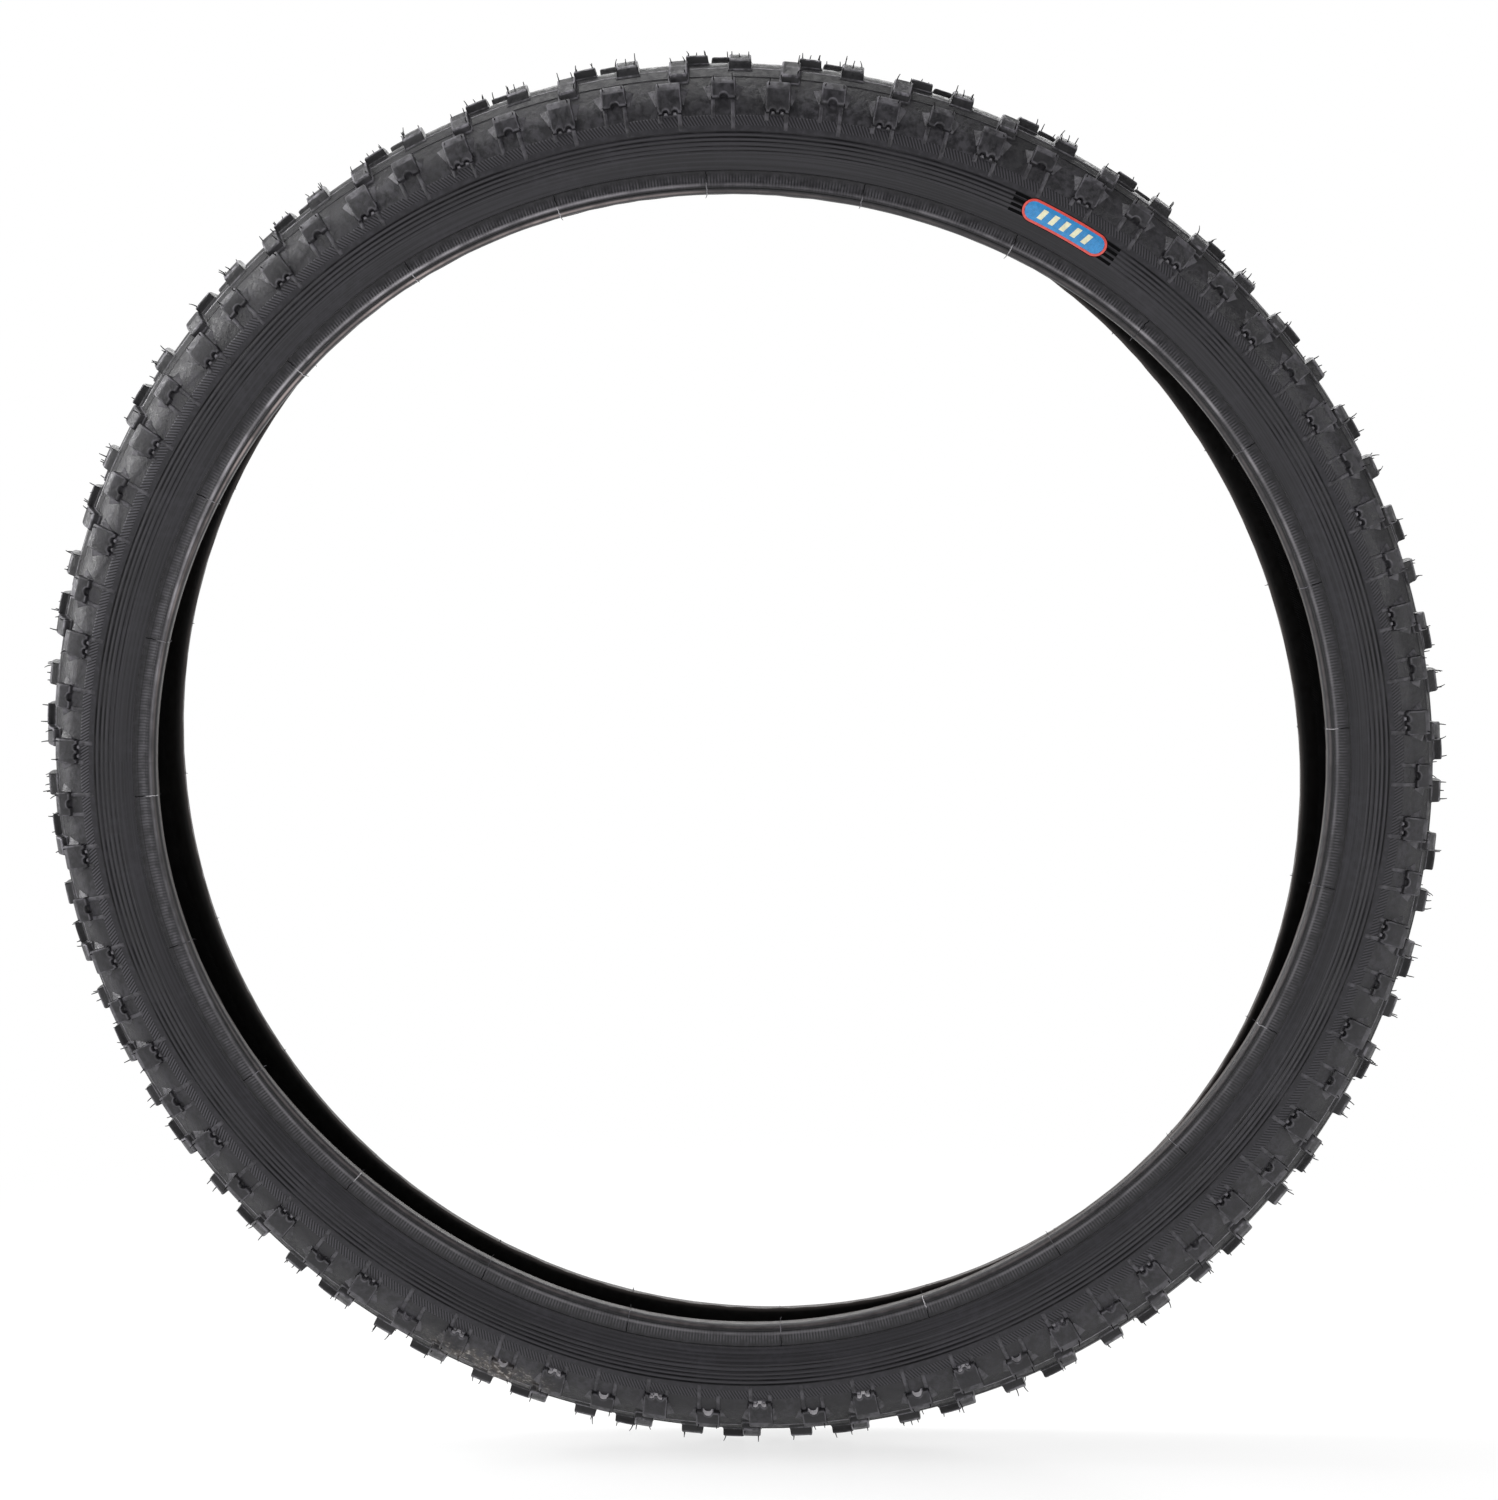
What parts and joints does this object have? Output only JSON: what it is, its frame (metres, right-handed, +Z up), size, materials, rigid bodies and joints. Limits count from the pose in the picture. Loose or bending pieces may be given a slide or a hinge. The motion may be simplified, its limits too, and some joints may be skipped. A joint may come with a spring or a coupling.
{
  "type": "bicycle tyre",
  "caption": "Knobby clincher tyre: cord casing round two wire beads, with moulded centre blocks, transition blocks and notched shoulder knobs.",
  "frame": {"origin": "the tyre's centre, on the axle line and midway between the two beads", "axes": "+Y along the axle line, away from the side with the badge; +Z up; +X to the right for someone who faces the badge"},
  "size_m": [0.6866, 0.056, 0.6868],
  "materials": {
    "tread_rubber": "satin black rubber, a little dusty on the faces",
    "sidewall_rubber": "satin black rubber skin with fine moulded rings",
    "rim_strip_rubber": "lighter, harder rubber with a fine radial grain",
    "core_rubber": "matt black rubber",
    "casing_cord": "rubberised nylon cord",
    "bead_steel": "drawn steel wire",
    "badge_black": "glossy film",
    "badge_red": "glossy print",
    "badge_blue": "glossy print",
    "badge_cream": "glossy print"
  },
  "bodies": {
    "tread": {"tread_base": "tread_rubber", "centre_blocks_right": "tread_rubber", "centre_blocks_left": "tread_rubber", "transition_blocks_right": "tread_rubber", "transition_blocks_left": "tread_rubber", "high_shoulder_knobs_right": "tread_rubber", "low_shoulder_knobs_right": "tread_rubber", "high_shoulder_knobs_left": "tread_rubber", "low_shoulder_knobs_left": "tread_rubber", "buttress_ribs_right": "tread_rubber", "buttress_ribs_left": "tread_rubber", "centre_whiskers": "tread_rubber", "shoulder_whiskers": "tread_rubber", "sidewall_right": "sidewall_rubber", "sidewall_left": "sidewall_rubber", "inner_ply": "casing_cord", "outer_ply": "casing_cord", "badge_film": "badge_black", "badge_border": "badge_red", "badge_field": "badge_blue", "badge_marks": "badge_cream"},
    "bead_right": {"bead_wires_right": "bead_steel", "bead_core_right": "core_rubber", "rim_strip_right": "rim_strip_rubber"},
    "bead_left": {"bead_wires_left": "bead_steel", "bead_core_left": "core_rubber", "rim_strip_left": "rim_strip_rubber"}
  },
  "joints": [
    {"name": "right_bead_slide", "type": "slide", "parent": "tread", "child": "bead_right", "axis": [0, 1, 0], "range_m": [-0.01, 0.013], "deforming": ["inner_ply", "outer_ply", "sidewall_right", "badge_film", "badge_border", "badge_field", "badge_marks"]},
    {"name": "left_bead_slide", "type": "slide", "parent": "tread", "child": "bead_left", "axis": [0, -1, 0], "range_m": [-0.01, 0.013], "deforming": ["inner_ply", "outer_ply", "sidewall_left"]}
  ]
}
